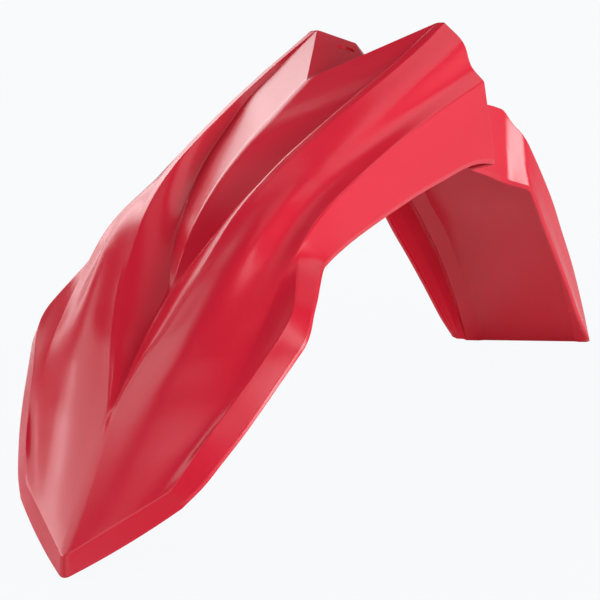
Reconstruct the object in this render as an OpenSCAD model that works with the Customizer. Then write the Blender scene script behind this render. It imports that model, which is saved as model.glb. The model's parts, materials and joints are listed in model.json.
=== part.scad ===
// Front mudguard of an off-road motorcycle: one injection-moulded sheet of plastic.
// All sizes are millimetres. +Z is up, the nose points to -Y and the flap to +Y.
// The sheet is symmetric about X = 0. Its nose tip and the end of its flap stand on Z = 0.

/* [Sheet] */
// Thickness of the moulded wall
wall = 2.6; // [1.8:0.1:3.4]
// Height of the lip that is rolled in along the free edge
lip_h = 4; // [2:0.5:6]
// How far the lip leans inwards
lip_in = 1.6; // [0:0.2:2.4]

/* [Nose] */
// Height of the upper crease at the nose tip
tip_flange_h = 16.4; // [12:0.2:20]
// How far the lower edge of the nose bows out between tip and corner
nose_bow = 2.2; // [0:0.1:4]
// Distance of the front corners behind the nose tip
corner_y = 50.7; // [44:0.5:56]
// Width across the front corners, on the upper crease
corner_w = 135.4; // [124:1:144]
// Height of the front corners, on the upper crease
corner_h = 53.8; // [50:0.2:58]

/* [Centre channel and wedge] */
// Distance from the nose tip to the point where the channel starts
channel_y = 76; // [68:1:84]
// Height of that point
channel_h = 100.8; // [96:0.4:105]
// Distance from the nose tip to the point of the raised wedge
wedge_y = 172; // [165:1:180]
// Height of the point of the wedge
wedge_h = 175.2; // [171:0.4:180]
// Distance from the nose tip to the front of the notch over the mount
notch_y = 402.5; // [390:0.5:415]
// Height of the front of the notch
notch_h = 306; // [300:0.5:312]

/* [Wings] */
// Distance from the nose tip to the rear edge of both wings
wing_end_y = 524; // [505:1:545]
// Width across the horns, on their outer crease
horn_w = 137.2; // [128:0.4:148]
// Height of the horns
horn_h = 334; // [326:0.5:342]
// Width across the shoulder creases
shoulder_w = 200; // [188:1:206]
// Height of the shoulder crease at the rear edge
shoulder_h = 282.2; // [274:0.4:290]
// Height of the lower edge of the wings at the rear
wing_rim_h = 209.1; // [200:0.1:222]
// Greatest width, across the teeth of the flange
tooth_w = 259.2; // [250:0.4:268]
// Greatest rise of the outer face under the crest
crown = 9; // [4:0.5:12]
// Depth of the hollow above the shoulder crease
hollow = 2.5; // [0:0.5:4]

/* [Neck and flap] */
// Distance from the nose tip to the rear corners of the mounting trough
trough_end_y = 540; // [532:1:550]
// Distance from the nose tip to the bottom of the notch for the steering stem
stem_notch_y = 511; // [500:1:530]
// Fall of the trough floor over its length
trough_fall = 1.5; // [0:0.5:6]
// Width across the neck, between the fork legs
neck_w = 128; // [116:1:134]
// Greatest width of the flap
flap_w = 163; // [150:1:172]
// Distance from the nose tip to the end of the flap
flap_end_y = 743.3; // [730:0.5:756]
// Width of the flat centre panel at the end of the flap
panel_w = 100; // [84:1:110]

/* [Bolt holes] */
// Bore of the four bolt holes
bolt_d = 16; // [10:0.5:18]
// Spacing of the front pair, side to side
front_pitch = 56; // [46:1:64]
// Distance from the nose tip to the front pair
front_bolt_y = 513; // [500:1:520]
// Spacing of the rear pair, side to side
rear_pitch = 56; // [46:1:64]
// Distance from the nose tip to the rear pair
rear_bolt_y = 597; // [592:1:602]

/* [Hidden] */
nose_rows = 26;
wing_rows = 22;
wing_from = 195;
step_rows = 4;
rear_rows = 22;
face_cols = 6;
row_start = 3.5;
corner_r = 4;
// The stations count heights from a datum that lies this far above the floor
datum = 2;

// Feature lines of the front half. Each station is [distance from the nose tip, half width, height].
middle_line = [
    [1.3, 0, tip_flange_h], [38, 0, 58.2], [channel_y, 0, channel_h], [100, 0, 121.5], [127, 0, 145.5],
    [150, 0, 162.5], [wedge_y, 0, wedge_h], [204, 0, 209.5], [227, 0, 227.6], [252, 0, 243.6],
    [302, 0, 268.5], [353, 0, 288], [notch_y, 0, notch_h]];
gutter_line = [
    [2, 2, tip_flange_h + 0.2], [38.7, 2, 58.4], [channel_y + 0.8, 1.6, channel_h + 0.4],
    [127, 2, 146], [wedge_y - 10, 2, wedge_h - 5.4], [wedge_y + 0.5, 2.6, wedge_h + 0.8],
    [191, 10, 192], [209, 18, 206.2], [229, 25, 219.8], [254.5, 34, 232.3],
    [294, 43, 249.8], [346, 50, 271.5], [388.6, 54.5, 290], [447.7, 58.5, 309.5],
    [wing_end_y - 2, horn_w / 2 - 8.1, horn_h]];
ridge_line = [
    [2.7, 3.4, tip_flange_h + 0.6], [39.4, 3.4, 58.8], [channel_y + 2, 2.6, channel_h + 1.8],
    [98, 7.5, 125], [119, 14.5, 151], [139, 21, 172.5], [155, 26.8, 188],
    [177, 33.5, 206.5], [200, 39.5, 223],
    [221, 44.5, 236.5], [250, 49.5, 252], [283, 53.2, 262.9], [348, 58.7, 282], [415, 63, 302.8],
    [454, 63.6, 313.8], [wing_end_y - 1, horn_w / 2 - 6.1, horn_h + 0.2]];
crest_line = [
    [3.5, 4.8, tip_flange_h + 1.2], [40, 4.8, 59], [channel_y + 3.5, 3.6, channel_h + 3.7],
    [98, 12, 124.5], [119, 20.5, 148.5], [139, 29.2, 169], [160.5, 36.7, 189], [188, 43.9, 212],
    [217.5, 49.7, 234], [249, 54.9, 251.1], [275, 57.9, 259.1], [340, 63.6, 279], [405, 69, 297.8],
    [441.6, 70.2, 308.3], [484, 70.1, 321.4], [wing_end_y - 1, horn_w / 2, horn_h]];
shoulder_line = [
    [44, 58.5, 48.7], [75, 75.5, 77], [105, 88, 109], [138, 95.5, 141], [164, 97, 164],
    [191, 97.5, 186.5], [208, 98.5, 198.5], [223, 99.2, 208.5], [243, 99.7, 219],
    [260, shoulder_w / 2, 225.7], [299, shoulder_w / 2, 237.4], [350, shoulder_w / 2, 250.3],
    [404, shoulder_w / 2, 262], [463, shoulder_w / 2, 272.7], [wing_end_y, shoulder_w / 2, shoulder_h]];
flange_line = [
    [corner_y, corner_w / 2, corner_h], [74.4, 81.8, 80.1], [100.9, 94.3, 104.8], [131.4, 108.8, 133.1],
    [146.4, 115.6, 148.1], [157.6, tooth_w / 2 - 11.6, 157.9], [165.2, tooth_w / 2 - 12.2, 163.8],
    [177.5, 112.9, 173.1], [189.7, 107.4, 182.2], [208, 100.1, 195.5], [223, 100.2, 206.5],
    [243, 100.7, 217.5], [260, shoulder_w / 2 + 1, 224.2], [350, shoulder_w / 2 + 1, 248.8],
    [463, shoulder_w / 2 + 1, 271.2], [wing_end_y, shoulder_w / 2 + 1, shoulder_h - 1.5]];
rim_line = [
    [corner_y + 1, corner_w / 2 + 8.2, corner_h - 12.8], [64.6, 86.4, 52.4], [81.3, 96.5, 68.3],
    [98, 105.6, 83.8], [115.9, 113.7, 100.3], [132.7, 120.3, 115.3], [148.4, 126.4, 129],
    [157.5, tooth_w / 2, 137], [167, tooth_w / 2, 145.5],
    [177, 127.5, 155.6], [191, 123.5, 165.2], [204, 119, 173.8], [215, 115, 180], [222, 112.3, 182.3],
    [233.5, 109, 183.7], [266, 105, 189.3], [333.5, shoulder_w / 2 + 3, 199.8],
    [428, shoulder_w / 2 + 2, 210.5], [504, shoulder_w / 2 + 2, 213],
    [wing_end_y - 1, shoulder_w / 2 + 2, wing_rim_h]];

// Stations of the rear half: [station, spine y, z, panel half width, edge x, y, z, rim x, y, z]
rear_stations = [
    [0, 578, 262, 44, neck_w / 2 - 2, 562, 258, neck_w / 2, 549, 200],
    [1, 596, 255, 47, neck_w / 2 - 0.5, 586, 253, neck_w / 2 + 0.5, 577, 189.5],
    [1.8, 612, 247.5, 50, neck_w / 2 + 1.2, 608, 246, neck_w / 2 + 1.2, 598, 180.5],
    [2.2, 621, 241.5, 51, neck_w / 2 + 2.5, 617, 241.5, neck_w / 2 + 4, 607, 176],
    [2.6, 631, 231, 53, neck_w / 2 + 6.5, 623, 229, neck_w / 2 + 11, 614, 171.5],
    [3, 642, 218, 55, flap_w / 2 - 4, 630.5, 214.6, flap_w / 2 - 0.5, 621, 167],
    [3.4, 655, 196, 57, flap_w / 2 - 3, 644, 193, flap_w / 2 + 0.5, 628, 155],
    [4, 674, 160, 58, flap_w / 2 - 5, 668.5, 157, flap_w / 2 - 0.5, 640, 133],
    [5, 698.6, 119.7, 55.5, flap_w / 2 - 8.5, 692.5, 115, flap_w / 2 - 2.7, 661, 100],
    [6, 715.5, 80, 53.5, flap_w / 2 - 10.6, 711, 78, flap_w / 2 - 4.7, 682, 66],
    [7, 732, 35.8, 51.5, flap_w / 2 - 12.2, 725.5, 37, flap_w / 2 - 6.9, 703, 30],
    [8, flap_end_y, -datum, panel_w / 2, panel_w / 2 + 18, flap_end_y - 7.3, 2 - datum,
        panel_w / 2 + 23.5, flap_end_y - 22.3, 6]];

// How far each line runs ahead of or behind the crest in one row: [crest y, shift]
crest_end = wing_end_y - 1;
middle_shift = [[row_start, -2.2], [channel_y + 3.5, -3.5], [wedge_y + 6, -6],
    [crest_end, notch_y - crest_end]];
gutter_shift = [[row_start, -1.5], [channel_y + 3.5, -2.7], [wedge_y + 6, -5.5], [crest_end, -1]];
ridge_shift = [[row_start, -0.8], [channel_y + 3.5, -1.5], [wedge_y + 6, -3], [crest_end, 0]];
shoulder_shift = [[row_start, 44 - row_start], [crest_end, 1]];
flange_shift = [[row_start, corner_y - row_start], [crest_end, 1]];
rim_shift = [[row_start, corner_y + 1 + corner_r - row_start], [110, 49], [177, 50], [300, 25],
    [crest_end, 0]];

// Rise of the outer face over the straight line from crest to shoulder, at its brow and its waist
crown_by_y = [[row_start, 0], [60, crown * 0.44], [100, crown * 0.85], [130, crown], [180, crown * 0.9],
    [220, crown * 0.52], [240, crown * 0.26], [262, crown * 0.03], [300, 0], [340, crown * 0.1],
    [400, crown * 0.15], [460, crown * 0.35], [crest_end, crown * 0.49]];
waist_by_y = [[row_start, 0], [60, crown * 0.33], [100, crown * 0.6], [130, crown * 0.55],
    [160, crown * 0.2], [200, -hollow * 0.8], [260, -hollow], [400, -hollow * 0.9],
    [crest_end, -hollow * 0.76]];

// Slope of a table between two neighbouring stations, without its first column
function rest(s) = [for (k = [1:len(s) - 1]) s[k]];
function slope(t, k) = (rest(t[k + 1]) - rest(t[k])) / (t[k + 1][0] - t[k][0]);

// Slope of the smooth curve at a station
function tangent(t, k) =
    k == 0 ? slope(t, 0)
    : k == len(t) - 1 ? slope(t, k - 1)
    : let (a = t[k][0] - t[k - 1][0], b = t[k + 1][0] - t[k][0])
        (slope(t, k - 1) * b + slope(t, k) * a) / (a + b);

// Number of the stretch that holds y
function stretch(t, y, k = 0) = k >= len(t) - 2 || y < t[k + 1][0] ? k : stretch(t, y, k + 1);

// Smooth curve through all stations of a table, read at y
function smooth(t, y) =
    let (
        k = stretch(t, y),
        h = t[k + 1][0] - t[k][0],
        s = min(1, max(0, (y - t[k][0]) / h)))
    (2 * pow(s, 3) - 3 * pow(s, 2) + 1) * rest(t[k])
    + (pow(s, 3) - 2 * pow(s, 2) + s) * h * tangent(t, k)
    + (3 * pow(s, 2) - 2 * pow(s, 3)) * rest(t[k + 1])
    + (pow(s, 3) - pow(s, 2)) * h * tangent(t, k + 1);

function on_line(t, y) = let (v = smooth(t, y)) [v[0], y, v[1]];
function mix(a, b, s) = a * (1 - s) + b * s;
function unit(v) = v / max(norm(v), 0.000001);

// A point just above the rim, where the lip starts
function lip_point(rim, above) =
    let (d = unit(above - rim)) rim + lip_h * d + [lip_in, 0, 0];

// The outer face between crest and shoulder
function outer_face(a, b, along, y) =
    let (
        across = b - a,
        n0 = unit(cross(along, across)),
        n = n0[2] < 0 ? -n0 : n0,
        rise = [[0, 0], [0.42, lookup(y, crown_by_y)], [0.75, lookup(y, waist_by_y)], [1, 0]])
    [for (k = [1:face_cols - 1])
        let (v = k / face_cols)
        a + across * v + n * smooth(rise, v)[0]];

// Columns of one row, in order from the middle out: middle, two on the facet, gutter, ridge,
// crest, the outer face, shoulder, ledge, flange, lip and rim
function front_row(y) =
    let (
        middle = on_line(middle_line, y + lookup(y, middle_shift)),
        gutter = on_line(gutter_line, y + lookup(y, gutter_shift)),
        crest = on_line(crest_line, y),
        shoulder_y = y + lookup(y, shoulder_shift),
        shoulder = on_line(shoulder_line, shoulder_y),
        ahead = on_line(crest_line, y - 2) + on_line(shoulder_line, shoulder_y - 2),
        behind = on_line(crest_line, y + 2) + on_line(shoulder_line, shoulder_y + 2),
        flange = on_line(flange_line, y + lookup(y, flange_shift)),
        rim = on_line(rim_line, y + lookup(y, rim_shift)))
    concat(
        [middle, mix(middle, gutter, 0.25), mix(middle, gutter, 0.6), gutter,
            on_line(ridge_line, y + lookup(y, ridge_shift)), crest],
        outer_face(crest, shoulder, behind - ahead, y),
        [shoulder, mix(shoulder, flange, 0.55) - [0, 0, 0.04 * norm(flange - shoulder)], flange,
            lip_point(rim, flange), rim]);

last = 10 + face_cols - 1;

// The flange round the nose: the free edge bows out and is round at the tip
nose_crease = front_row(row_start);
tip_low = [0, -3.5, -1.1];
corner_low = on_line(rim_line, corner_y + 1);
corner_share = corner_r / norm(corner_low);
bow_way = [0.65, -0.5, -0.57];
function low_edge(s) = mix(tip_low, corner_low, s) + nose_bow * 4 * s * (1 - s) * bow_way;
function nose_share(j) = min(nose_crease[j][0] / (corner_w / 2), 1) * (1 - corner_share);
round_from = low_edge(nose_share(5));
function nose_edge(j) =
    j >= 5 ? low_edge(nose_share(j))
    : let (
        q = nose_crease[j][0] / nose_crease[5][0],
        p = mix(round_from, tip_low, (1 - q * q) / 2))
        [round_from[0] * q, p[1], p[2]];

// Lower edge of that flange (lip = 0) and the crease of its lip (lip = 1)
function nose_row(lip) = [for (j = [0:last])
    j <= last - 2
        ? let (e = nose_edge(j)) e + lip * lip_h * unit(nose_crease[j] - e)
        : j == last - 1
            ? let (e = low_edge(1 - corner_share / 2)) e + lip * lip_h * unit(nose_crease[last - 2] - e)
            : on_line(rim_line, corner_y + 1 + corner_r * lip / 2)];

// Rear edge of the trough and the wings, with the notch for the steering stem
wing_row = front_row(crest_end);
trough_slope = (horn_h - notch_h + trough_fall) / (horn_w / 2);
function trough_z(x, y) =
    notch_h - trough_fall * (y - notch_y) / (trough_end_y - notch_y) + trough_slope * abs(x);
function on_trough(x, y) = [x, y, trough_z(x, y)];
edge_back = 3.5;
trough_row = [for (j = [0:last])
    j == 0 ? on_trough(0, stem_notch_y)
    : j == 1 ? on_trough(11.5, stem_notch_y + 5)
    : j == 2 ? on_trough(horn_w / 2 - 35.1, trough_end_y)
    : j == 3 ? [horn_w / 2 - 11.6, wing_end_y + 5, horn_h - 3]
    : j == 4 ? [horn_w / 2 - 7.6, wing_end_y + edge_back, horn_h - 1]
    : let (p = wing_row[j]) [p[0] - edge_back, wing_end_y + edge_back, p[2] - 1.5]];

function rear_row(s) =
    let (
        v = smooth(rear_stations, s),
        panel = [v[2], v[0], v[1]],
        edge = [v[3], v[4], v[5]],
        rim = [v[6], v[7], v[8]])
    concat(
        [for (k = [0:5]) [v[2] * k / 5, v[0], v[1]]],
        [for (k = [1:face_cols - 1]) mix(panel, edge, k / face_cols)],
        [edge, mix(edge, rim, 0.12), mix(edge, rim, 0.5), lip_point(rim, edge), rim]);

function between(a, b, s) = [for (j = [0:last]) mix(a[j], b[j], s)];

// All rows from the nose to the end of the flap
outer = concat(
    [nose_row(0), nose_row(1)],
    [for (k = [0:nose_rows - 1]) front_row(mix(row_start, wing_from, k / nose_rows))],
    [for (k = [0:wing_rows]) front_row(mix(wing_from, crest_end, k / wing_rows))],
    [for (s = [0.35, 0.7]) between(wing_row, trough_row, s)],
    [for (k = [0:step_rows - 1]) between(trough_row, rear_row(0), k / step_rows)],
    [for (k = [0:rear_rows]) rear_row(8 * k / rear_rows)]);

rows = len(outer);
cols = 2 * last + 1;

// One row on both sides of the middle, from the right rim to the left rim
function whole(row) = concat(
    [for (j = [last:-1:1]) [-row[j][0], row[j][1], row[j][2]]],
    row);
skin = [for (r = outer) whole(r)];

// Outward direction of each cell of the grid
facing = [for (i = [0:rows - 2]) [for (j = [0:cols - 2])
    unit(cross(skin[i + 1][j + 1] - skin[i][j], skin[i + 1][j] - skin[i][j + 1]))]];

// Cells that meet at a grid point or have a corner nearer to it than the wall is thick
function close_by(p, k, m) =
    min([for (a = [0, 1]) for (b = [0, 1]) norm(skin[k + a][m + b] - p)]) < wall;
function cells(i, j) = [
    for (k = [max(i - 2, 0):min(i + 1, rows - 2)])
        for (m = [max(j - 4, 0):min(j + 3, cols - 2)])
            if (close_by(skin[i][j], k, m)) facing[k][m]];
function total(v, k = 0) = k >= len(v) - 1 ? v[k] : v[k] + total(v, k + 1);

// The inner face lies one wall under the outer face, on the bisector where faces meet at a crease
function inner_point(i, j) =
    let (
        near = cells(i, j),
        n = unit(total(near)),
        least = min([for (f = near) norm(f) > 0.5 ? f * n : 1]),
        p = skin[i][j] - wall / max(least, 0.7) * n)
    [p[0], p[1], max(p[2], -datum)];
inside = [for (i = [0:rows - 1]) [for (j = [0:cols - 1]) inner_point(i, j)]];

function flat(t) = [for (r = t) for (p = r) p];
function id(i, j, layer) = layer * rows * cols + i * cols + j;
function two(a, b, c, d) = [[a, b, c], [a, c, d]];
function two_back(a, b, c, d) = [[a, b, d], [b, c, d]];

faces = concat(
    flat([for (i = [0:rows - 2]) for (j = [0:cols - 2])
        j < last
            ? two(id(i, j, 0), id(i, j + 1, 0), id(i + 1, j + 1, 0), id(i + 1, j, 0))
            : two_back(id(i, j, 0), id(i, j + 1, 0), id(i + 1, j + 1, 0), id(i + 1, j, 0))]),
    flat([for (i = [0:rows - 2]) for (j = [0:cols - 2])
        j < last
            ? two(id(i, j, 1), id(i + 1, j, 1), id(i + 1, j + 1, 1), id(i, j + 1, 1))
            : two_back(id(i, j, 1), id(i + 1, j, 1), id(i + 1, j + 1, 1), id(i, j + 1, 1))]),
    flat([for (i = [0:rows - 2]) two(id(i, 0, 0), id(i + 1, 0, 0), id(i + 1, 0, 1), id(i, 0, 1))]),
    flat([for (i = [0:rows - 2])
        two(id(i, cols - 1, 0), id(i, cols - 1, 1), id(i + 1, cols - 1, 1), id(i + 1, cols - 1, 0))]),
    flat([for (j = [0:cols - 2]) two(id(0, j, 0), id(0, j, 1), id(0, j + 1, 1), id(0, j + 1, 0))]),
    flat([for (j = [0:cols - 2])
        two(id(rows - 1, j, 0), id(rows - 1, j + 1, 0), id(rows - 1, j + 1, 1), id(rows - 1, j, 1))]));

module sheet() {
    polyhedron(points = concat(flat(skin), flat(inside)), faces = faces, convexity = 12);
}

// Height and lean of the neck at the rear pair
function neck_z(y) = lookup(y, [for (s = rear_stations) [s[1], s[2]]]);
rear_lean = atan((neck_z(rear_bolt_y - 17) - neck_z(rear_bolt_y + 15)) / 32);

// Bolt holes, square to the surface that they go through
module bolt_holes() {
    for (side = [-1, 1]) {
        translate([side * front_pitch / 2, front_bolt_y, trough_z(front_pitch / 2, front_bolt_y)])
            rotate([0, -side * atan(trough_slope), 0])
                cylinder(h = 8 * wall, d = bolt_d, center = true, $fn = 48);
        translate([side * rear_pitch / 2, rear_bolt_y, neck_z(rear_bolt_y)])
            rotate([-rear_lean, 0, 0])
                cylinder(h = 8 * wall, d = bolt_d, center = true, $fn = 48);
    }
}

module mudguard() {
    color("crimson")
        translate([0, -(flap_end_y + skin[0][last][1]) / 2, datum])
            difference() {
                sheet();
                bolt_holes();
            }
}

mudguard();
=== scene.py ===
# %% [markdown]
# # The front mudguard of an off-road motorcycle
#
# This lesson makes one moulded piece of red plastic: the high front mudguard that sits over the
# wheel of an off-road motorcycle. It is a thin creased sheet. A flanged nose splits into two raised
# crests with a sunken wedge between them, the crests end in two horns at the fork, and a narrower
# neck carries a flap that hangs down behind the wheel.
#
# The exact solid of the mudguard is loaded first as a fixed frame, in metres. Everything below is
# worked out in the same frame, so the finished sheet lies where the solid lies.

import json
import math

import bpy
import numpy as np
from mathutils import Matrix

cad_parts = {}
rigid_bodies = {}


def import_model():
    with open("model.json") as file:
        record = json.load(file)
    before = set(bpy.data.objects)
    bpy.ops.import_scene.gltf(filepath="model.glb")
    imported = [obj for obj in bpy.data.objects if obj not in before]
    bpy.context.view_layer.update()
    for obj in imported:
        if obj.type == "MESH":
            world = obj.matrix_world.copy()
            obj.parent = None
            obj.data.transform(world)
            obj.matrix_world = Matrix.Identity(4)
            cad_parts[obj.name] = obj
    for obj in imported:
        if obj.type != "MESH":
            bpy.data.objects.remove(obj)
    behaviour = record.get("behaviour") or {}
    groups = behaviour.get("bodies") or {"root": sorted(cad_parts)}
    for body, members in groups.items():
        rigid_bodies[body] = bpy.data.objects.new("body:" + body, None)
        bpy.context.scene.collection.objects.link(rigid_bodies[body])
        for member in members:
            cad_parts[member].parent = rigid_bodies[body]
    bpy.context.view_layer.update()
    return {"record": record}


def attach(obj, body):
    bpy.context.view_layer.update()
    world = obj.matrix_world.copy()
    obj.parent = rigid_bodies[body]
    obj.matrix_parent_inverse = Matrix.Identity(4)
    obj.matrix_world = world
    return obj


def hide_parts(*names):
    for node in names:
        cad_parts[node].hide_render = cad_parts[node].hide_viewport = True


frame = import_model()
MM = 0.001

# %% [markdown]
# ## The camera
#
# The photograph looks at the nose from the front and a little above, with the right side of the
# mudguard turned to the lens. A long lens keeps the far side almost as large as the near side. Its
# place and lens were fitted by a separate program to mirrored points of the photograph. The camera
# comes first, so that each later step can be looked at from the same place.

# %% Camera
camera_data = bpy.data.cameras.new("camera")
camera_data.sensor_width = 36.0
camera_data.lens = 152.51
camera_data.clip_end = 20.0
camera = bpy.data.objects.new("camera", camera_data)
bpy.context.scene.collection.objects.link(camera)
camera.location = (1.1561, -1.7533, 0.5319)
camera.rotation_euler = [math.radians(a) for a in (79.0025, 6.7790, 32.3747)]
bpy.context.scene.camera = camera
bpy.context.scene.view_settings.view_transform = "Standard"
print("lens", camera_data.lens, "mm")

# %% [markdown]
# ## Feature lines
#
# A mudguard like this is designed from a few feature lines that run from front to back, and the
# sheet is stretched between them. On one half they are, from the middle out: the middle line, the
# gutter at the foot of the crest, the ridge and the crest on its top, the shoulder under the
# rounded outer face, the flange's upper edge and the free rim. Each line is a table of stations in
# millimetres: distance from the nose tip, half width and height, with a smooth curve through them.
# The stations weren't designed from driving sizes. They were worked out by separate fitting
# programs from creases seen on both sides of the photograph, rounded, and adjusted by hand. They
# lie close where a line bends and far apart where it runs straight. Those of the ridge and crest
# between 130 and 280 mm come from one program and lie 12 to 15 mm apart.

# %% Tables of the feature lines
SHIFT_Y = 370.77
DATUM = 2.0
WALL = 2.6
CREST_START, CREST_END = 3.5, 523.0

MIDDLE = np.array([
    [1.3, 0, 16.4], [38, 0, 58.2], [76, 0, 100.8], [100, 0, 121], [127, 0, 143], [150, 0, 160],
    [172, 0, 175], [204, 0, 209.5], [227, 0, 227.6], [252, 0, 243.6], [302, 0, 268.5],
    [353, 0, 288], [402.5, 0, 306]])
GUTTER = np.array([
    [2, 2, 16.6], [38.7, 2, 58.4], [58, 1.9, 80.6], [68, 1.6, 91.8],
    [76.8, 1.5, 101.2], [127, 2, 143.6], [162, 2, 168.6],
    [172.5, 2.6, 176], [191, 9.5, 192], [209, 16.4, 206.2], [229, 23, 219.8],
    [254.5, 31.6, 232.3], [277, 38.4, 242.4], [294, 43, 249.8], [311, 46.8, 257.2],
    [340, 51.8, 269], [367, 54.6, 280.6], [388.6, 56.4, 290], [447.7, 59.4, 309.5],
    [522, 60.5, 334]])
RIDGE = np.array([
    [2.7, 3.4, 17], [39.4, 3.4, 58.8], [59, 3.4, 81.1], [69, 3.2, 92.4],
    [78, 3.4, 102.6], [98, 9.8, 124], [119, 19.5, 147.2],
    [132, 25, 159.4], [145, 29.6, 171.8], [160, 33.8, 186.3], [175, 37.2, 199.8],
    [190, 40.2, 212.8], [205, 42.8, 224.8], [220, 45, 234.3], [235, 47.2, 242.5],
    [250, 49, 249.7], [265, 50.5, 256.2], [280, 51.9, 262.2], [300, 53.5, 269],
    [320, 55, 275.4], [340, 56.4, 281.6], [390, 59.9, 296.4], [415, 61.4, 303.4],
    [454, 62.8, 314.6], [523, 62.5, 334.2]])
CREST = np.array([
    [3.5, 4.8, 17.6], [40, 4.8, 59], [60, 4.7, 82.2], [70, 4.4, 93.8],
    [79.5, 4.6, 104.4], [98, 12.3, 124.5], [119, 22.4, 147.8],
    [132, 28, 160.3], [145, 32.9, 172.8], [160, 37.8, 187], [175, 42.3, 199.8], [190, 46.1, 212],
    [205, 49.1, 223.5], [220, 51.4, 233.2], [235, 53.4, 241.6], [250, 55.2, 248.8],
    [265, 56.8, 255], [280, 58.3, 261], [300, 60, 267.8], [340, 63, 280.3], [390, 66.6, 295.2],
    [415, 68, 302.2], [441.6, 69.1, 309.8], [484, 69.7, 321.6], [523, 68.6, 334]])
SHOULDER = np.array([
    [44, 58.5, 48.7], [75, 75.5, 77], [105, 88, 109], [138, 95.5, 141], [164, 97, 164],
    [191, 97.5, 186.5], [208, 98.5, 198.5], [223, 99.2, 208.5], [243, 99.7, 219], [260, 100, 225.7],
    [299, 100, 237.4], [350, 100, 250.3], [404, 100, 262], [463, 100, 272.7], [524, 100, 282.2]])
FLANGE = np.array([
    [50.7, 67.7, 53.8], [74.4, 81.8, 80.1], [100.9, 94.3, 104.8], [131.4, 108.8, 133.1],
    [146.4, 115.6, 148.1], [157.6, 118, 157.9], [165.2, 117.4, 163.8], [177.5, 112.9, 173.1],
    [189.7, 107.4, 182.2], [208, 100.1, 195.5], [223, 100.2, 206.5], [243, 100.7, 217.5],
    [260, 101, 224.2], [350, 101, 248.8], [463, 101, 271.2], [524, 101, 280.7]])
RIM = np.array([
    [51.7, 75.9, 41], [64.6, 86.4, 52.4], [81.3, 96.5, 68.3], [98, 105.6, 83.8],
    [115.9, 113.7, 100.3], [132.7, 120.3, 115.3], [148.4, 126.4, 129], [157.5, 129.6, 137],
    [167, 129.6, 145.5], [177, 127.5, 155.6], [191, 123.5, 165.2], [204, 119, 173.8],
    [215, 115, 180], [222, 112.3, 182.3], [233.5, 109, 183.7], [266, 105, 189.3],
    [333.5, 103, 199.8], [428, 102, 210.5], [504, 102, 213], [523, 102, 209.1]])

# A row of the sheet isn't a flat cut: each line runs a little ahead of or behind the crest.
MIDDLE_SHIFT = np.array([[3.5, -2.2], [79.5, -3.5], [178, -6], [523, -120.5]])
GUTTER_SHIFT = np.array([[3.5, -1.5], [79.5, -2.7], [178, -5.5], [523, -1]])
RIDGE_SHIFT = np.array([[3.5, -0.8], [79.5, -1.5], [178, -3], [523, 0]])
SHOULDER_SHIFT = np.array([[3.5, 40.5], [523, 1]])
FLANGE_SHIFT = np.array([[3.5, 47.2], [523, 1]])
RIM_SHIFT = np.array([[3.5, 52.2], [110, 49], [177, 50], [300, 25], [523, 0]])

# Rise of the rounded outer face over the straight line from crest to shoulder.
BROW = np.array([
    [3.5, 0], [60, 3.96], [100, 7.65], [130, 9], [180, 8.1], [220, 4.7], [240, 2.3], [262, 0.3],
    [300, 0], [340, 0.9], [400, 1.35], [460, 3.15], [523, 4.41]])
WAIST = np.array([
    [3.5, 0], [60, 2.97], [100, 5.4], [130, 4.95], [160, 1.8], [200, -2], [260, -2.5],
    [400, -2.25], [523, -1.9]])

# How far the wall between gutter and ridge stands out from a flat one.
WALL_BULGE = np.array([
    [3.5, 0], [85, 0], [120, 1.2], [160, 1.6], [230, 1.8], [290, 0.6], [340, 0]])

# Neck and flap: station, spine y, z, half width of the flat panel, edge x, y, z, rim x, y, z.
REAR = np.array([
    [0, 578, 262, 44, 62, 562, 258, 64, 549, 200],
    [1, 596, 255, 47, 63.5, 586, 253, 64.5, 577, 189.5],
    [1.8, 612, 247.5, 50, 65.2, 608, 246, 65.2, 598, 180.5],
    [2.2, 621, 241.5, 51, 66.5, 617, 241.5, 68, 607, 176],
    [2.6, 631, 231, 53, 70.5, 623, 229, 75, 614, 171.5],
    [3, 642, 218, 55, 77.5, 630.5, 214.6, 81, 621, 167],
    [3.4, 655, 196, 57, 78.5, 644, 193, 82, 628, 155],
    [4, 674, 160, 58, 76.5, 668.5, 157, 81, 640, 133],
    [5, 698.6, 119.7, 55.5, 73, 692.5, 115, 78.8, 661, 100],
    [6, 715.5, 80, 53.5, 70.9, 711, 78, 76.8, 682, 66],
    [7, 732, 35.8, 51.5, 69.3, 725.5, 37, 74.6, 703, 30],
    [8, 743.3, -2, 50, 68, 736, 0, 73.5, 721, 6]])
print("stations:", sum(len(t) for t in (MIDDLE, GUTTER, RIDGE, CREST, SHOULDER, FLANGE, RIM, REAR)))

# %% [markdown]
# ## Curves through the stations
#
# A straight join between stations would show as bends in the reflections. A cubic curve keeps both
# the place and the direction the same on each side of a station, so the light runs on smoothly.


# %% Curve helpers
def smooth(table, y):
    """Cubic curve through all stations of a table, read at each y.

    Between two stations the value is a blend of both end values and both end slopes. The slope at
    a station is the mean of its neighbours' slopes, each weighted by the other stretch's length."""
    y = np.atleast_1d(np.asarray(y, float))
    x, v = table[:, 0], table[:, 1:]
    h = np.diff(x)
    d = np.diff(v, axis=0) / h[:, None]
    m = np.empty_like(v)
    m[0], m[-1] = d[0], d[-1]
    m[1:-1] = (d[:-1] * h[1:, None] + d[1:] * h[:-1, None]) / (h[:-1] + h[1:])[:, None]
    k = np.clip(np.searchsorted(x, y, side="right") - 1, 0, len(x) - 2)
    s = np.clip((y - x[k]) / h[k], 0, 1)[:, None]
    g = h[k][:, None]
    return ((2 * s**3 - 3 * s**2 + 1) * v[k] + (s**3 - 2 * s**2 + s) * g * m[k]
            + (3 * s**2 - 2 * s**3) * v[k + 1] + (s**3 - s**2) * g * m[k + 1])


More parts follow.
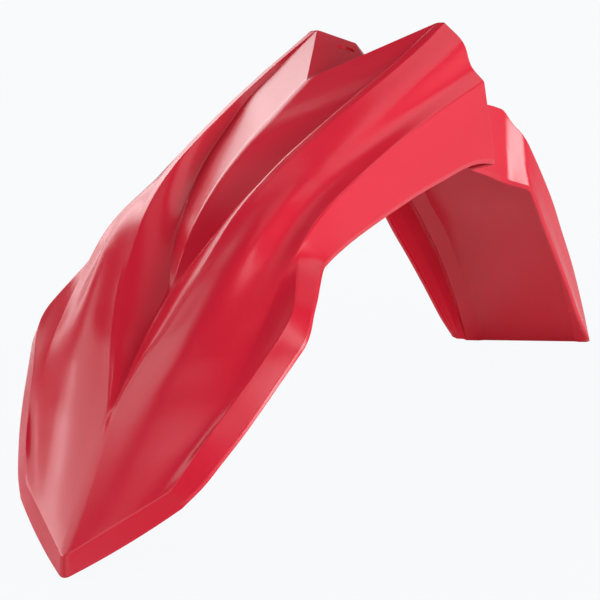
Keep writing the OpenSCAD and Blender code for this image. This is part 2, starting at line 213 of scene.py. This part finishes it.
def on_line(table, y):
    """Points (half width, y, height) of a feature line at each y."""
    v = smooth(table, y)
    return np.stack([v[:, 0], np.atleast_1d(y), v[:, 1]], 1)


def look(table, y):
    """Straight join of a two-column table, read at each y."""
    return np.interp(y, table[:, 0], table[:, 1])


def mix(a, b, s):
    """The point at share s of the straight way from a to b."""
    return a * (1 - s) + b * s


def unit(v):
    """Vectors scaled to length one along the last axis."""
    return v / np.maximum(np.linalg.norm(v, axis=-1, keepdims=True), 1e-9)


print("crest at y 250 mm:", np.round(on_line(CREST, 250)[0], 1))

# %% [markdown]
# ## Columns across the sheet
#
# Every row of the sheet crosses the same features in the same order, so the whole sheet is one
# grid. A column is named by a number that counts features from the middle out: 0 is the middle,
# 3 the gutter, 4 the ridge, 5 the crest, 11 the shoulder, 12 the ledge, 13 the flange's edge, 14
# the lip and 15 the rim. Numbers between them are points between the features.

# %% Column numbers of one half
COLUMNS = np.concatenate([
    [0, 0.32, 0.66, 1, 1.34, 1.67, 2, 2.25, 2.5, 2.75],
    np.linspace(3, 4, 9)[:-1], [4, 4.33, 4.67],
    np.linspace(5, 11, 23),
    [11.5, 12, 12.5],
    np.linspace(13, 14, 7),
    [14.5, 15]])
LIP_UP, LIP_IN = 4.0, 1.6


def column(c):
    """Place of the column with this number in the list of columns."""
    return int(np.argmin(np.abs(COLUMNS - c)))


def across(features):
    """Points at all columns, joined straight between the features.

    features maps a column number to an array of points, one for each row."""
    keys = sorted(features)
    k = np.clip(np.searchsorted(keys, COLUMNS, side="right") - 1, 0, len(keys) - 2)
    left = np.stack([features[n] for n in keys], 1)
    low = np.array(keys, float)[k]
    share = (COLUMNS - low) / (np.array(keys, float)[k + 1] - low)
    return left[:, k] * (1 - share)[:, None] + left[:, k + 1] * share[:, None]


def lip_point(rim, above):
    """A point just above the rim, where the lip starts."""
    return rim + LIP_UP * unit(above - rim) + np.array([LIP_IN, 0, 0])


print("columns in one half:", len(COLUMNS))

# %% [markdown]
# ## Front rows
#
# The outer face between crest and shoulder is the part that the eye follows. It rises over the
# straight join by a brow near the crest, and dips into a waist above the shoulder. Brow and waist
# change along the mudguard: full on the nose, almost flat at the middle and hollow at the wings.


# %% Front rows
BROW_AT, WAIST_AT = 0.42, 0.75
SHOULDER_PASSES = 14


def rise(y, share):
    """Height of the outer face over the straight join, for each row and each share of the way.

    A cubic curve through 0 at the crest, the brow at share BROW_AT, the waist at WAIST_AT and 0
    at the shoulder."""
    x = np.array([0, BROW_AT, WAIST_AT, 1.0])
    v = np.stack([0 * y, look(BROW, y), look(WAIST, y), 0 * y], 1)
    h = np.diff(x)
    d = np.diff(v, axis=1) / h
    m = np.stack([d[:, 0], (d[:, 0] * h[1] + d[:, 1] * h[0]) / (h[0] + h[1]),
                  (d[:, 1] * h[2] + d[:, 2] * h[1]) / (h[1] + h[2]), d[:, 2]], 1)
    k = np.clip(np.searchsorted(x, share, side="right") - 1, 0, 2)
    s = (share - x[k]) / h[k]
    return ((2 * s**3 - 3 * s**2 + 1) * v[:, k] + (s**3 - 2 * s**2 + s) * h[k] * m[:, k]
            + (3 * s**2 - 2 * s**3) * v[:, k + 1] + (s**3 - s**2) * h[k] * m[:, k + 1])


def bulged_wall(rows, y):
    """The wall from gutter to ridge, pushed towards the middle and up.

    The push at share t of the way is 6.75 t^2 (1 - t) times the bulge, so the foot stays steep and
    the top turns level before the ridge."""
    t = np.clip(COLUMNS - 3, 0, 1)
    across_wall = rows[:, column(4)] - rows[:, column(3)]
    push = unit(np.stack([-across_wall[:, 2], 0 * y, across_wall[:, 0]], 1))
    size = look(WALL_BULGE, y)[:, None] * 6.75 * t**2 * (1 - t)
    return rows + push[:, None, :] * size[:, :, None]


def round_nose(rows, y):
    """The ridge of the nose, where both outer faces meet, rounded over a reach r on each side.

    At distance x from the middle each face drops along its own slope by (r + x^2 / r) / 2 - x, so
    it meets the flat face without a bend. The rounding fades out where the two crests part."""
    crest, side = rows[:, [column(5)]], rows[:, [column(6)]]
    slope = (side - crest) / (side - crest)[..., :1]
    x = rows[..., :1]
    r = np.interp(y, [3.5, 25, 45, 72], [4.8, 7, 7.5, 4])[:, None, None]
    on_face = np.where((COLUMNS < 5)[None, :, None], crest + slope * (x - crest[..., :1]), rows)
    drop = np.where(x < r, (r + x**2 / r) / 2 - x, 0)
    soft = on_face + slope * drop
    soft[..., 0] = rows[..., 0]
    fade = np.clip((79 - y) / 12, 0, 1)[:, None, None]
    fade = fade**2 * (3 - 2 * fade)
    return soft * fade + rows * (1 - fade)


def soft_shoulder(rows, y):
    """On the nose the shoulder isn't a crease: points between the brow and the flange are
    averaged with their neighbours, less and less towards the wings."""
    fade = np.clip((120 - y) / 45, 0, 1)[:, None, None]
    first, last = column(9), column(13)
    soft = rows.copy()
    for _ in range(SHOULDER_PASSES):
        soft[:, first:last] = (0.5 * soft[:, first:last] + 0.25 * soft[:, first - 1:last - 1]
                               + 0.25 * soft[:, first + 1:last + 1])
    return soft * fade + rows * (1 - fade)


def front_rows(y):
    """Rows of the front half, one for each crest distance y."""
    y = np.atleast_1d(np.asarray(y, float))
    crest, shoulder_y = on_line(CREST, y), y + look(SHOULDER_SHIFT, y)
    shoulder = on_line(SHOULDER, shoulder_y)
    behind = on_line(CREST, y + 2) + on_line(SHOULDER, shoulder_y + 2)
    ahead = on_line(CREST, y - 2) + on_line(SHOULDER, shoulder_y - 2)
    flange = on_line(FLANGE, y + look(FLANGE_SHIFT, y))
    rim = on_line(RIM, y + look(RIM_SHIFT, y))
    middle = on_line(MIDDLE, y + look(MIDDLE_SHIFT, y))
    gutter = on_line(GUTTER, y + look(GUTTER_SHIFT, y))
    drop = 0.04 * np.linalg.norm(flange - shoulder, axis=1)[:, None] * np.array([0, 0, 1.0])
    rows = across({
        0: middle, 1: mix(middle, gutter, 0.25), 2: mix(middle, gutter, 0.6), 3: gutter,
        4: on_line(RIDGE, y + look(RIDGE_SHIFT, y)), 5: crest, 11: shoulder,
        12: mix(shoulder, flange, 0.55) - drop, 13: flange, 14: lip_point(rim, flange), 15: rim})
    up = unit(np.cross(behind - ahead, shoulder - crest))
    up = np.where(up[:, 2:] < 0, -up, up)
    share = np.clip((COLUMNS - 5) / 6, 0, 1)
    rows = rows + up[:, None, :] * rise(y, share)[:, :, None]
    return soft_shoulder(round_nose(bulged_wall(rows, y), y), y)


print("front row at y 250 mm spans", np.round(front_rows(250)[0, -1], 1))

# %% [markdown]
# ## Nose, trough and rear rows
#
# The nose ends in an upright flange that folds down from the first front row, with a free edge that
# bows out a little. Behind the horns the sheet drops down a step: the floor between the horns ends
# in an edge with a round notch for the steering stem, and the step leads down to the neck.


# %% Nose, trough and rear rows
TIP_LOW = np.array([0, -3.5, -1.1])
CORNER_LOW = on_line(RIM, RIM[0, 0])[0]
NOSE_BOW, BOW_WAY = 2.2, np.array([0.65, -0.5, -0.57])
CORNER_R = 4.0
CUT = CORNER_R / np.linalg.norm(CORNER_LOW)


def low_edge(share):
    """Free edge of the flange round the nose: the straight way from the tip to the corner plus a
    bow of 4 s (1 - s) times its height, which is 0 at both ends and full half way."""
    share = np.asarray(share, float)[..., None]
    return (mix(TIP_LOW, CORNER_LOW, share)
            + NOSE_BOW * 4 * share * (1 - share) * BOW_WAY)


def nose_rows(lip):
    """Rows of the flange round the nose: its free edge (lip = 0) and the lip's top (lip = 1).

    Between the two crests the edge turns on a round arc: with q from 0 in the middle to 1 at the
    crest, a point lies (1 - q^2) / 2 of the way from the arc's end to the corner that it rounds."""
    crease = front_rows(CREST_START)[0]
    share = np.minimum(crease[:, 0] / 67.7, 1) * (1 - CUT)
    edge, end = low_edge(share), low_edge(share[column(5)])
    q = (crease[:, 0] / crease[column(5), 0])[:, None]
    arc = mix(end, TIP_LOW, (1 - q**2) / 2)
    arc[:, 0] = end[0] * q[:, 0]
    edge = np.where((COLUMNS < 5)[:, None], arc, edge)
    body = edge + lip * LIP_UP * unit(crease - edge)
    side = low_edge(1 - CUT / 2)
    side = side + lip * LIP_UP * unit(crease[column(13)] - side)
    rim = on_line(RIM, RIM[0, 0] + CORNER_R * lip / 2)[0]
    ends = across({0: body[[0]], 13: body[[column(13)]], 14: side[None], 15: rim[None]})[0]
    return np.where((COLUMNS <= 13)[:, None], body, ends)


def floor_z(x, y):
    """Height of the floor between the horns: it falls slowly rearwards and rises to each side."""
    return 306 - 1.5 * (y - 402.5) / 137.5 + 29.5 / 68.6 * abs(x)


def trough_row(wing):
    """Rear edge of the floor and the wings, with the notch for the steering stem."""
    def floor_point(x, y):
        return np.array([[x, y, floor_z(x, y)]])
    inner = across({
        0: floor_point(0, 511), 1: floor_point(11.5, 516), 2: floor_point(33.5, 540),
        3: np.array([[57, 529, 331]]), 4: np.array([[61, 527.5, 333]]),
        5: np.array([[wing[column(5)][0] - 3.5, 527.5, wing[column(5)][2] - 1.5]]),
        15: np.zeros((1, 3))})[0]
    outer = np.stack([wing[:, 0] - 3.5, np.full(len(wing), 527.5), wing[:, 2] - 1.5], 1)
    return np.where((COLUMNS <= 5)[:, None], inner, outer)


def rear_rows(s):
    """Rows of the neck and flap at each station number s."""
    v = smooth(REAR, s)
    panel = np.stack([v[:, 2], v[:, 0], v[:, 1]], 1)
    edge, rim = v[:, 3:6], v[:, 6:9]
    return across({0: panel * np.array([0, 1, 1]), 5: panel, 11: edge, 12: mix(edge, rim, 0.12),
                   13: mix(edge, rim, 0.5), 14: lip_point(rim, edge), 15: rim})


# %% All rows of one half
y_rows = np.concatenate([
    CREST_START + np.array([0.0]), np.linspace(CREST_START + 3, 195, 66)[:-1],
    np.linspace(195, CREST_END - 4, 66), [CREST_END]])
front = front_rows(y_rows)
trough = trough_row(front[-1])
neck_top = rear_rows(0)[0]
half = np.concatenate([
    [nose_rows(0), nose_rows(1), mix(nose_rows(1), front[0], 0.5)],
    front,
    [mix(front[-1], trough, 0.5)],
    [mix(trough, neck_top, s) for s in np.linspace(0, 1, 15)[:-1]],
    rear_rows(np.linspace(0, 8, 64))])
ROW_LIP, ROW_CREASE, ROW_WING = 1, 3, 2 + len(front)
ROW_TROUGH, ROW_NECK = ROW_WING + 2, ROW_WING + 16
print("rows:", len(half), "length mm:", round(float(np.ptp(half[..., 1])), 1))

# %% [markdown]
# ## Both halves and the wall
#
# The second half is the mirror of the first. The sheet then gets its wall: each point of the inner
# face lies one wall under the outer face. At a crease the two faces pull the point different ways,
# so it goes along the middle direction, and a little further, which keeps the wall as thick there.


# %% Mirror and offset
LEAST_COSINE = 0.7


def both_halves(rows):
    """The mirrored half, then the half itself, with one shared middle column."""
    other = rows[:, :0:-1] * np.array([-1, 1, 1])
    return np.concatenate([other, rows], 1)


def inner_face(p, wall):
    """The face one wall under p.

    A point's direction is the sum of the outward directions of all cells that touch it or lie
    nearer to it than the wall, and its way is wall over the least cosine to any of them."""
    n_rows, n_cols = p.shape[:2]
    facing = unit(np.cross(p[1:, 1:] - p[:-1, :-1], p[1:, :-1] - p[:-1, 1:]))
    total = np.zeros_like(p)
    used = []
    for di in range(-3, 3):
        for dj in range(-6, 6):
            i = np.arange(n_rows) + di
            j = np.arange(n_cols) + dj
            good = ((i >= 0) & (i < n_rows - 1))[:, None] & ((j >= 0) & (j < n_cols - 1))[None]
            i, j = np.clip(i, 0, n_rows - 2), np.clip(j, 0, n_cols - 2)
            near = np.full((n_rows, n_cols), 1e9)
            for a in (0, 1):
                for b in (0, 1):
                    gap = np.linalg.norm(p[np.ix_(i + a, j + b)] - p, axis=-1)
                    near = np.minimum(near, gap)
            f = facing[np.ix_(i, j)] * (good & (near < wall))[..., None]
            total += f
            used.append(f)
    n = unit(total)
    least = np.ones(p.shape[:2])
    for f in used:
        dot = (f * n).sum(-1)
        least = np.where(np.linalg.norm(f, axis=-1) > 0.5, np.minimum(least, dot), least)
    inner = p - n * (wall / np.maximum(least, LEAST_COSINE))[..., None]
    inner[..., 2] = np.maximum(inner[..., 2], -DATUM)
    return inner


outer = both_halves(half)
inner = inner_face(outer, WALL)
MIDDLE_COLUMN = outer.shape[1] // 2
print("grid:", outer.shape[:2])

# %% [markdown]
# ## Rounded creases
#
# A moulding has no knife edges. Every crease is replaced by a few rows or columns on a small
# curve that starts and ends on the two faces, so it catches a thin line of light as plastic does.
# The curve's reach is small where the steel of the mould was sharp and larger where it was soft.


# %% Rounding helper
MOST_OF_WAY = 0.45


def rounded(a, b, c, reach, steps):
    """Points on a quadratic curve that replaces the corner b between a and c.

    It starts on the way from b to a and ends on the way from b to c, at the given reach or at
    MOST_OF_WAY where the neighbour is near, and the corner itself pulls the curve."""
    to_a = np.minimum(reach, MOST_OF_WAY * np.linalg.norm(a - b, axis=-1))
    to_c = np.minimum(reach, MOST_OF_WAY * np.linalg.norm(c - b, axis=-1))
    start = b + unit(a - b) * to_a[..., None]
    end = b + unit(c - b) * to_c[..., None]
    t = np.linspace(0, 1, steps)[:, None, None]
    return (1 - t) ** 2 * start + 2 * t * (1 - t) * b + t**2 * end


def soften(sheet, other, k, axis, reach, steps=4):
    """Rounds row or column k of a sheet. At the sheet's own edge it turns towards the other
    sheet, so that the free rim is rounded too."""
    s = np.moveaxis(sheet, axis, 0)
    o = np.moveaxis(other, axis, 0)
    a = o[0] if k == 0 else s[k - 1]
    c = o[-1] if k == len(s) - 1 else s[k + 1]
    s = np.concatenate([s[:k], rounded(a, s[k], c, reach, steps), s[k + 1:]])
    return np.moveaxis(s, 0, axis)


def soften_both(first, second, k, axis, reach, steps=4):
    """Rounds the same row or column on both faces of the wall."""
    return (soften(first, second, k, axis, reach, steps),
            soften(second, first, k, axis, reach, steps))


# %% Round the columns, from the far side to the near one so that numbers stay true
column_reach = {3: 2.5, 4: 1.2, 5: 0.9, 11: 1.6, 13: 0.9, 14: 0.6, 15: 0.6}
marks = []
for c, reach in column_reach.items():
    marks.append((MIDDLE_COLUMN + column(c), reach))
    if c:
        marks.append((MIDDLE_COLUMN - column(c), reach))
for k, reach in sorted(marks, reverse=True):
    outer, inner = soften_both(outer, inner, k, 1, reach)

# %% Round the rows in the same way
row_reach = [(len(outer) - 1, 0.6), (ROW_NECK, 2.5), (ROW_TROUGH, 1.2), (ROW_WING, 1.2),
             (ROW_CREASE, 1.2), (ROW_LIP, 0.8), (0, 0.6)]
for k, reach in row_reach:
    outer, inner = soften_both(outer, inner, k, 0, reach)
print("rounded grid:", outer.shape[:2])

# %% [markdown]
# ## From grid to mesh
#
# The two grids and the four strips round their edges make one closed skin. Faces are listed with
# whole arrays of point numbers, turned so that every face looks outwards.


# %% Closed mesh
def grid_quads(ids):
    """Four corners of every cell of a grid of point numbers."""
    return np.stack([ids[:-1, :-1], ids[:-1, 1:], ids[1:, 1:], ids[1:, :-1]], -1).reshape(-1, 4)


def closed_mesh(name, first, second):
    """Mesh of a wall between two grids of the same size, both in millimetres."""
    n = first.shape[0] * first.shape[1]
    top = np.arange(n).reshape(first.shape[:2])
    low = top + n
    sides = [np.stack([top[:, 0], low[:, 0]], 1), np.stack([low[:, -1], top[:, -1]], 1),
             np.stack([low[0], top[0]], 1), np.stack([top[-1], low[-1]], 1)]
    quads = np.concatenate(
        [grid_quads(top), grid_quads(low)[:, ::-1]]
        + [grid_quads(s)[:, ::-1] for s in sides])
    points = np.concatenate([first.reshape(-1, 3), second.reshape(-1, 3)])
    points = (points + np.array([0, -SHIFT_Y, DATUM])) * MM
    mesh = bpy.data.meshes.new(name)
    mesh.vertices.add(len(points))
    mesh.vertices.foreach_set("co", points.ravel())
    mesh.loops.add(quads.size)
    mesh.loops.foreach_set("vertex_index", quads.ravel())
    mesh.polygons.add(len(quads))
    mesh.polygons.foreach_set("loop_start", np.arange(0, quads.size, 4))
    mesh.update(calc_edges=True)
    mesh.validate()
    return mesh


sheet = bpy.data.objects.new("mudguard_sheet", closed_mesh("mudguard_sheet", outer, inner))
bpy.context.scene.collection.objects.link(sheet)
print("faces:", len(sheet.data.polygons))

# %% [markdown]
# ## Bolt holes
#
# Four bolts hold the mudguard under the fork's lower clamp: two go through the floor between the
# horns and two through the neck. Their holes are drilled square to the surface they go through.
# A boolean cut with a round cutter gives a true circle, which a grid of cells could not.


# %% Drill the four holes
def cutter(name, centre, axis, radius, length, sides=48):
    """Round bar about an axis: two rings of points and their caps."""
    axis = unit(np.asarray(axis, float))
    side = unit(np.cross(axis, [0, 1, 0]) if abs(axis[1]) < 0.9 else np.cross(axis, [1, 0, 0]))
    third = np.cross(axis, side)
    a = np.linspace(0, 2 * np.pi, sides, endpoint=False)[:, None]
    ring = radius * (np.cos(a) * side + np.sin(a) * third)
    points = np.concatenate([ring - axis * length / 2, ring + axis * length / 2]) + centre
    k = np.arange(sides)
    walls = np.stack([k, (k + 1) % sides, (k + 1) % sides + sides, k + sides], 1).tolist()
    mesh = bpy.data.meshes.new(name)
    mesh.from_pydata((points * MM).tolist(), [], walls + [k[::-1].tolist(), (k + sides).tolist()])
    bar = bpy.data.objects.new(name, mesh)
    bpy.context.scene.collection.objects.link(bar)
    return bar


bolts = [m for m in frame["record"]["mounts"] if m["kind"] == "bore"]
for number, mount in enumerate(bolts):
    bar = cutter(f"cutter_{number}", np.array(mount["pos_m"]) / MM, mount["axis"],
                 mount["dims"]["r_mm"], 30)
    cut = sheet.modifiers.new(f"hole_{number}", "BOOLEAN")
    cut.operation = "DIFFERENCE"
    cut.solver = "EXACT"
    cut.object = bar
finished = sheet.evaluated_get(bpy.context.evaluated_depsgraph_get())
drilled = bpy.data.meshes.new_from_object(finished)
sheet.modifiers.clear()
sheet.data = drilled
for bar in [o for o in bpy.data.objects if o.name.startswith("cutter_")]:
    bpy.data.objects.remove(bar)
print("faces after drilling:", len(drilled.polygons))

# %% [markdown]
# ## Even shading
#
# The narrow faces of a rounded crease meet broad faces of the sheet. If each point's shading
# direction were a plain mean, the crease would smear over the broad faces. Weighting by face area
# keeps the broad faces clean.

# %% Shading
SHARP_FROM = 42
AREA_WEIGHT = 60
drilled.shade_smooth()
drilled.set_sharp_from_angle(angle=math.radians(SHARP_FROM))
even = sheet.modifiers.new("even_shading", "WEIGHTED_NORMAL")
even.weight = AREA_WEIGHT
even.keep_sharp = True
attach(sheet, "root")
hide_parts("mudguard")

# %% [markdown]
# ## Red plastic
#
# The real piece is moulded polypropylene, coloured through, with a satin gloss. Up close such a
# skin isn't perfectly even: the colour drifts a little where the melt flowed, the gloss varies in
# soft patches, and a very fine grain breaks the highlights. All three come from noise in object
# coordinates, at the scale of the real thing: flow marks of several centimetres, gloss patches of
# one or two, and a grain finer than a millimetre.

# %% Red plastic material
plastic = bpy.data.materials.new("red_plastic")
plastic.use_nodes = True
nodes, links = plastic.node_tree.nodes, plastic.node_tree.links
skin = nodes["Principled BSDF"]
place = nodes.new("ShaderNodeTexCoord")


def noise(scale, detail, label, stretch=(1, 1, 1)):
    """A noise pattern in object coordinates, stretched along the axes."""
    turn = nodes.new("ShaderNodeMapping")
    turn.inputs["Scale"].default_value = stretch
    links.new(place.outputs["Object"], turn.inputs["Vector"])
    n = nodes.new("ShaderNodeTexNoise")
    n.label = label
    n.inputs["Scale"].default_value = scale
    n.inputs["Detail"].default_value = detail
    links.new(turn.outputs["Vector"], n.inputs["Vector"])
    return n


def ramp(source, low, high, low_at=0.3, high_at=0.7):
    """Turns a pattern into values or colours between two ends."""
    r = nodes.new("ShaderNodeValToRGB")
    r.color_ramp.elements[0].position = low_at
    r.color_ramp.elements[1].position = high_at
    r.color_ramp.elements[0].color = low
    r.color_ramp.elements[1].color = high
    links.new(source, r.inputs["Fac"])
    return r


flow = noise(9, 3, "flow marks", (1, 0.35, 1))
colour = ramp(flow.outputs["Fac"], (0.61, 0.012, 0.033, 1), (0.66, 0.0145, 0.0375, 1))
links.new(colour.outputs["Color"], skin.inputs["Base Color"])

patches = noise(55, 4, "gloss patches")
gloss = ramp(patches.outputs["Fac"], (0.22, 0.22, 0.22, 1), (0.26, 0.26, 0.26, 1))
links.new(gloss.outputs["Color"], skin.inputs["Roughness"])

grain = noise(2600, 2, "moulded grain")
bump = nodes.new("ShaderNodeBump")
bump.inputs["Strength"].default_value = 0.02
bump.inputs["Distance"].default_value = 0.0002
links.new(grain.outputs["Fac"], bump.inputs["Height"])
links.new(bump.outputs["Normal"], skin.inputs["Normal"])

skin.inputs["IOR"].default_value = 1.5
skin.inputs["Specular IOR Level"].default_value = 0.5
sheet.data.materials.clear()
sheet.data.materials.append(plastic)
print("material:", plastic.name)

# %% [markdown]
# ## Studio
#
# The photograph is a plain product shot: a pale, almost white surround, broad lights on both
# sides, and little light from straight above. Large area lamps give the soft wide highlights on
# the creases. Shiny surfaces mirror a surround that is pale at the horizon and dark overhead, so
# a face seen at a flat angle turns pale and a face turned up stays deep red. The floor is pale,
# and it is brightened for the camera alone, so that it joins the background without throwing more
# light on the object.

# %% World and floor
world = bpy.data.worlds.new("studio")
bpy.context.scene.world = world
world.use_nodes = True
w_nodes, w_links = world.node_tree.nodes, world.node_tree.links
w_nodes.clear()
BACKDROP = (0.939, 0.956, 0.973, 1)
HORIZON_LIGHT, OVERHEAD_LIGHT = 0.6, 0.03
seen = w_nodes.new("ShaderNodeBackground")
seen.inputs["Color"].default_value = BACKDROP
mirrored = w_nodes.new("ShaderNodeBackground")
mirrored.inputs["Color"].default_value = BACKDROP
direction = w_nodes.new("ShaderNodeTexCoord")
axes = w_nodes.new("ShaderNodeSeparateXYZ")
height = w_nodes.new("ShaderNodeMapRange")
for socket, value in (("From Min", 0.0), ("From Max", 0.5), ("To Min", HORIZON_LIGHT),
                      ("To Max", OVERHEAD_LIGHT)):
    height.inputs[socket].default_value = value
w_links.new(direction.outputs["Generated"], axes.inputs["Vector"])
w_links.new(axes.outputs["Z"], height.inputs["Value"])
w_links.new(height.outputs["Result"], mirrored.inputs["Strength"])
felt = w_nodes.new("ShaderNodeBackground")
felt.inputs["Color"].default_value = (1, 1, 1, 1)
felt.inputs["Strength"].default_value = 0.01
path = w_nodes.new("ShaderNodeLightPath")
shiny = w_nodes.new("ShaderNodeMath")
shiny.operation = "MAXIMUM"
w_links.new(path.outputs["Is Glossy Ray"], shiny.inputs[0])
w_links.new(path.outputs["Is Transmission Ray"], shiny.inputs[1])
pick_shiny = w_nodes.new("ShaderNodeMixShader")
w_links.new(shiny.outputs["Value"], pick_shiny.inputs["Fac"])
w_links.new(felt.outputs["Background"], pick_shiny.inputs[1])
w_links.new(mirrored.outputs["Background"], pick_shiny.inputs[2])
pick = w_nodes.new("ShaderNodeMixShader")
out = w_nodes.new("ShaderNodeOutputWorld")
w_links.new(path.outputs["Is Camera Ray"], pick.inputs["Fac"])
w_links.new(pick_shiny.outputs["Shader"], pick.inputs[1])
w_links.new(seen.outputs["Background"], pick.inputs[2])
w_links.new(pick.outputs["Shader"], out.inputs["Surface"])

paper = bpy.data.materials.new("pale_floor")
paper.use_nodes = True
p_nodes, p_links = paper.node_tree.nodes, paper.node_tree.links
p_out = p_nodes["Material Output"]
matte = p_nodes["Principled BSDF"]
matte.inputs["Base Color"].default_value = (0.9, 0.91, 0.92, 1)
matte.inputs["Roughness"].default_value = 0.9
glow = p_nodes.new("ShaderNodeEmission")
glow.inputs["Color"].default_value = BACKDROP
p_path = p_nodes.new("ShaderNodeLightPath")
p_place = p_nodes.new("ShaderNodeTexCoord")
away = p_nodes.new("ShaderNodeVectorMath")
away.operation = "LENGTH"
share = p_nodes.new("ShaderNodeMapRange")
for socket, value in (("From Min", 0.3), ("From Max", 0.9), ("To Min", 0.975), ("To Max", 1.0)):
    share.inputs[socket].default_value = value
dim = p_nodes.new("ShaderNodeMath")
dim.operation = "MULTIPLY"
p_links.new(p_place.outputs["Object"], away.inputs[0])
p_links.new(away.outputs["Value"], share.inputs["Value"])
p_links.new(share.outputs["Result"], dim.inputs[1])
p_pick = p_nodes.new("ShaderNodeMixShader")
p_links.new(p_path.outputs["Is Camera Ray"], dim.inputs[0])
p_links.new(dim.outputs["Value"], p_pick.inputs["Fac"])
p_links.new(matte.outputs["BSDF"], p_pick.inputs[1])
p_links.new(glow.outputs["Emission"], p_pick.inputs[2])
p_links.new(p_pick.outputs["Shader"], p_out.inputs["Surface"])

FLOOR_RADIUS, FLOOR_GAP, FLOOR_SIDES = 3, 0.0005, 64
floor_mesh = bpy.data.meshes.new("floor")
turn = np.linspace(0, 2 * np.pi, FLOOR_SIDES, endpoint=False)
rim_points = np.stack([FLOOR_RADIUS * np.cos(turn), FLOOR_RADIUS * np.sin(turn),
                       0 * turn - FLOOR_GAP], 1)
floor_mesh.from_pydata(rim_points.tolist(), [], [list(range(FLOOR_SIDES))])
floor = bpy.data.objects.new("floor", floor_mesh)
bpy.context.scene.collection.objects.link(floor)
floor.data.materials.append(paper)


# %% Lamps
def lamp(name, place, target, size, watts, colour=(1, 1, 1)):
    """A rectangular area lamp at place, in metres, that faces target."""
    data = bpy.data.lights.new(name, "AREA")
    data.shape = "RECTANGLE"
    data.size, data.size_y = size
    data.energy = watts
    data.color = colour
    obj = bpy.data.objects.new(name, data)
    bpy.context.scene.collection.objects.link(obj)
    obj.location = place
    way = np.asarray(target, float) - np.asarray(place, float)
    flat = math.hypot(way[0], way[1])
    obj.rotation_euler = (math.atan2(flat, -way[2]), 0, math.atan2(way[1], way[0]) - math.pi / 2)
    return obj


AIM = (0, 0, 0.15)
lamp("front high", (0.0, -2.05, 1.6), AIM, (1.3, 1.0), 7)
lamp("front low", (0.0, -2.6, 0.5), AIM, (1.3, 0.7), 3)
lamp("right middle", (2.5, 0.0, 0.8), AIM, (1.3, 1.0), 28)
lamp("right low", (2.6, 0.0, 0.45), AIM, (1.9, 0.8), 28)
lamp("right back", (2.1, 1.2, 0.95), AIM, (1.3, 1.0), 1)
lamp("right high", (1.7, -0.9, 1.9), AIM, (1.3, 1.0), 13)
lamp("back high", (1.0, 1.7, 1.9), AIM, (1.3, 1.0), 4)
lamp("left back", (-2.0, 1.2, 1.1), AIM, (1.6, 1.1), 10)
lamp("left back high", (-1.7, 1.0, 1.9), AIM, (1.3, 1.0), 18)
lamp("left front", (-2.1, -1.2, 0.95), AIM, (1.3, 1.0), 24)
lamp("left high", (-1.7, -1.0, 1.9), AIM, (1.3, 1.0), 8)
lamp("top", (0.3, 0.4, 2.6), AIM, (1.6, 1.2), 3)
